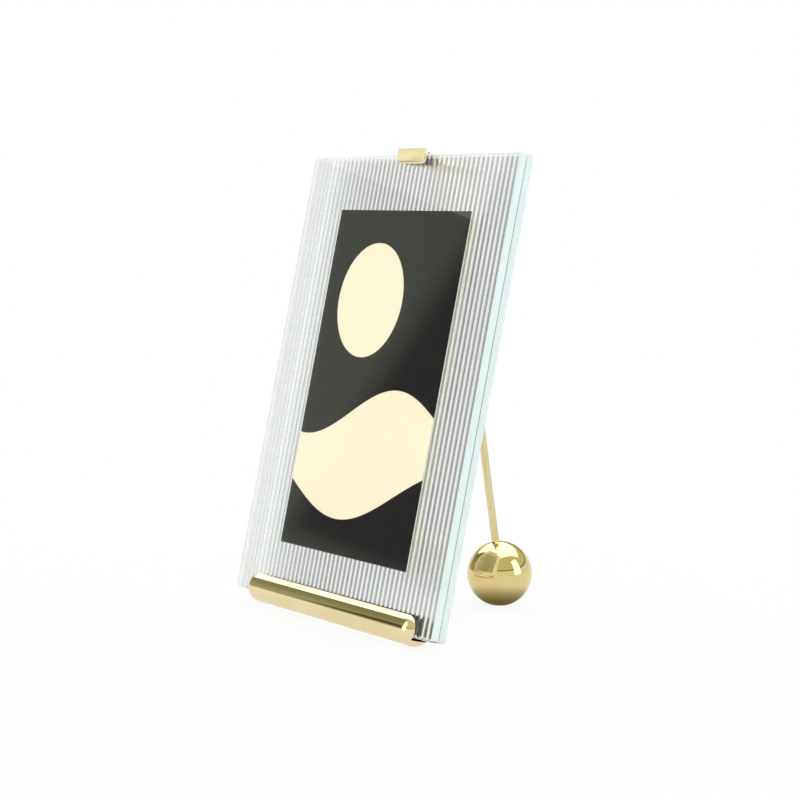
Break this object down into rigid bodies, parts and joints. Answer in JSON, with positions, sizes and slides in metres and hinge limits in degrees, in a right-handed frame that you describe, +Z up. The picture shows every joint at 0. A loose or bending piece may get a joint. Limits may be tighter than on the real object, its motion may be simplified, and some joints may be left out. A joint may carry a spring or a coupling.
{
  "type": "glass photo frame",
  "caption": "Glass photo frame that stands in a round brass rail, with a brass clip over its top edge and a hinged brass leg with a ball foot behind.",
  "frame": {"origin": "on the table, under the middle of the brass rail, on the underside of the rail's felt strip", "axes": "+X along the rail, to the right as seen from the front; +Y to the back, towards the ball foot; +Z up"},
  "size_m": [0.16, 0.1076, 0.2049],
  "materials": {
    "polished_brass": "polished and lacquered",
    "screw_steel": "bright",
    "clear_glass": "clear, polished",
    "reeded_glass": "clear, reeded on one face",
    "photo_paper": "matt print",
    "pad_rubber": "matt black",
    "base_felt": "black felt",
    "washer_nylon": "natural nylon"
  },
  "bodies": {
    "rail": {"base_rail": "polished_brass", "slot_strip": "pad_rubber", "rail_pad": "base_felt"},
    "back_plate": {"back_glass": "reeded_glass"},
    "print": {"photo_print": "photo_paper"},
    "front_plate": {"front_glass": "clear_glass"},
    "clip": {"clip_channel": "polished_brass", "front_jaw_pad": "pad_rubber", "rear_jaw_pad": "pad_rubber", "hinge_bracket": "polished_brass", "bracket_screw_left": "screw_steel", "bracket_screw_right": "screw_steel", "hinge_pin": "polished_brass"},
    "leg": {"leg_bar": "polished_brass", "hinge_washer_left": "washer_nylon", "hinge_washer_right": "washer_nylon", "ball_foot": "polished_brass", "ball_pad": "base_felt"}
  },
  "joints": [
    {"name": "back_plate_lift", "type": "slide", "parent": "rail", "child": "back_plate", "axis": [0, 0.2164, 0.9763], "range_m": [0, 0.012]},
    {"name": "print_lift", "type": "slide", "parent": "back_plate", "child": "print", "axis": [0, 0.2164, 0.9763], "range_m": [0, 0.02]},
    {"name": "front_plate_lift", "type": "slide", "parent": "back_plate", "child": "front_plate", "axis": [0, 0.2164, 0.9763], "range_m": [0, 0.012]},
    {"name": "clip_lift", "type": "slide", "parent": "front_plate", "child": "clip", "axis": [0, 0.2164, 0.9763], "range_m": [0, 0.012]},
    {"name": "leg_fold", "type": "hinge", "parent": "clip", "child": "leg", "pos_m": [0.0024, 0.05742, 0.19671], "axis": [-1, 0, 0], "range_deg": [0, 20]}
  ]
}
